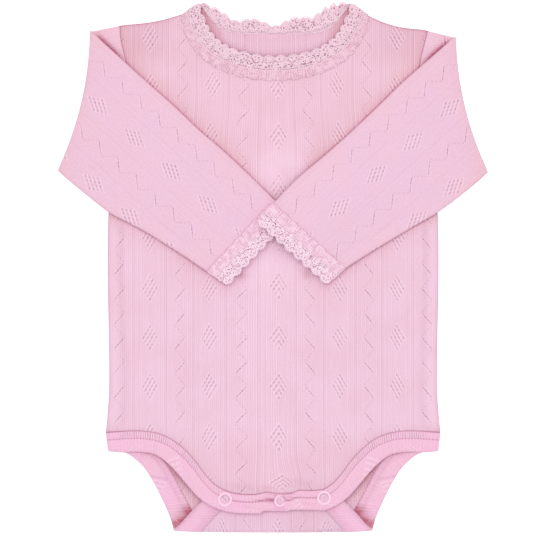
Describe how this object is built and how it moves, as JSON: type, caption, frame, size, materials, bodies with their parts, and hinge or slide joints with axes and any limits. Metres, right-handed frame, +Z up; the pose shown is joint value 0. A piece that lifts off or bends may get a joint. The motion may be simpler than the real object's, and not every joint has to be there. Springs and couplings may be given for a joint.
{
  "type": "baby bodysuit",
  "caption": "Long-sleeved baby bodysuit in pink pointelle rib knit, laid flat face up with folded-in sleeves, scalloped lace at neck and cuffs, and a snap crotch.",
  "frame": {"origin": "middle of the rectangle that the laid-out garment covers, on the surface it lies on", "axes": "+X towards the wearer's left sleeve, +Y towards the neck, +Z up out of the front"},
  "size_m": [0.2978, 0.3718, 0.0137],
  "materials": {
    "knit": "matte fine rib knit",
    "knit_inside": "matte knit, inner face showing",
    "lace": "crocheted cotton lace",
    "snap": "satin enamel"
  },
  "bodies": {
    "root": {"back_panel": "knit_inside", "front_panel": "knit", "front_hem_band": "knit", "front_leg_band_left": "knit", "front_leg_band_right": "knit", "back_leg_band_left": "knit_inside", "back_leg_band_right": "knit_inside", "sleeve_left": "knit", "sleeve_right": "knit", "neck_lace_back": "lace", "neck_lace_front": "lace", "cuff_lace_left": "lace", "cuff_lace_right": "lace", "snap_ring_left": "snap", "snap_ring_middle": "snap", "snap_ring_right": "snap", "snap_stud_left": "snap", "snap_stud_middle": "snap", "snap_stud_right": "snap"}
  },
  "joints": []
}
